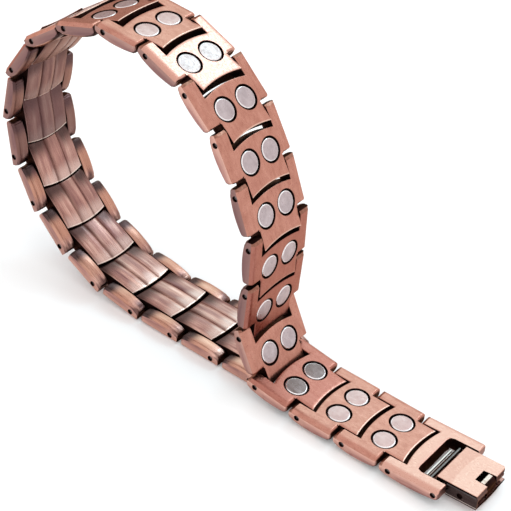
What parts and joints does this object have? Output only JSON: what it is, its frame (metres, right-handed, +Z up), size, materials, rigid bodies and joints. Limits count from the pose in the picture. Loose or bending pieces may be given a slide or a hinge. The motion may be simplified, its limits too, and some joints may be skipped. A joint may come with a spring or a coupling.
{
  "type": "magnetic link bracelet",
  "caption": "Copper link bracelet with two round magnets in each link and a fold-over clasp, unclasped, standing in an upright loop with its clasp end flat.",
  "frame": {"origin": "bottom centre of the bounding box, on the ground under the loop", "axes": "+X along the flat clasp end, from the loop towards the clasp; +Y across the band, away from the viewer; +Z up"},
  "size_m": [0.103, 0.0178, 0.0566],
  "materials": {
    "copper": "brushed antique copper",
    "magnet_steel": "satin plated",
    "pin_steel": "plain drawn wire"
  },
  "bodies": {
    "band": {"end_link": "copper", "link_01": "copper", "link_02": "copper", "link_03": "copper", "link_04": "copper", "link_05": "copper", "link_06": "copper", "link_07": "copper", "link_08": "copper", "link_09": "copper", "link_10": "copper", "link_11": "copper", "link_12": "copper", "link_13": "copper", "link_14": "copper", "link_15": "copper", "link_16": "copper", "link_17": "copper", "link_18": "copper", "link_19": "copper", "link_20": "copper", "link_21": "copper", "link_22": "copper", "far_end_link": "copper", "magnets_near_row": "magnet_steel", "magnets_far_row": "magnet_steel", "link_pins": "pin_steel", "catch_bar": "pin_steel", "snap_bar": "pin_steel", "clasp_pin": "pin_steel"},
    "clasp_leaf": {"clasp_plate": "copper", "cover_pin": "pin_steel"},
    "clasp_cover": {"clasp_cover": "copper"}
  },
  "joints": [
    {"name": "clasp_swing", "type": "hinge", "parent": "band", "child": "clasp_leaf", "pos_m": [0.0451, -0.0012, 0.00246], "axis": [0, -1, 0], "range_deg": [0, 50]},
    {"name": "cover_open", "type": "hinge", "parent": "clasp_leaf", "child": "clasp_cover", "pos_m": [0.05044, -0.0012, 0.00278], "axis": [0, -1, 0], "range_deg": [0, 140]}
  ]
}
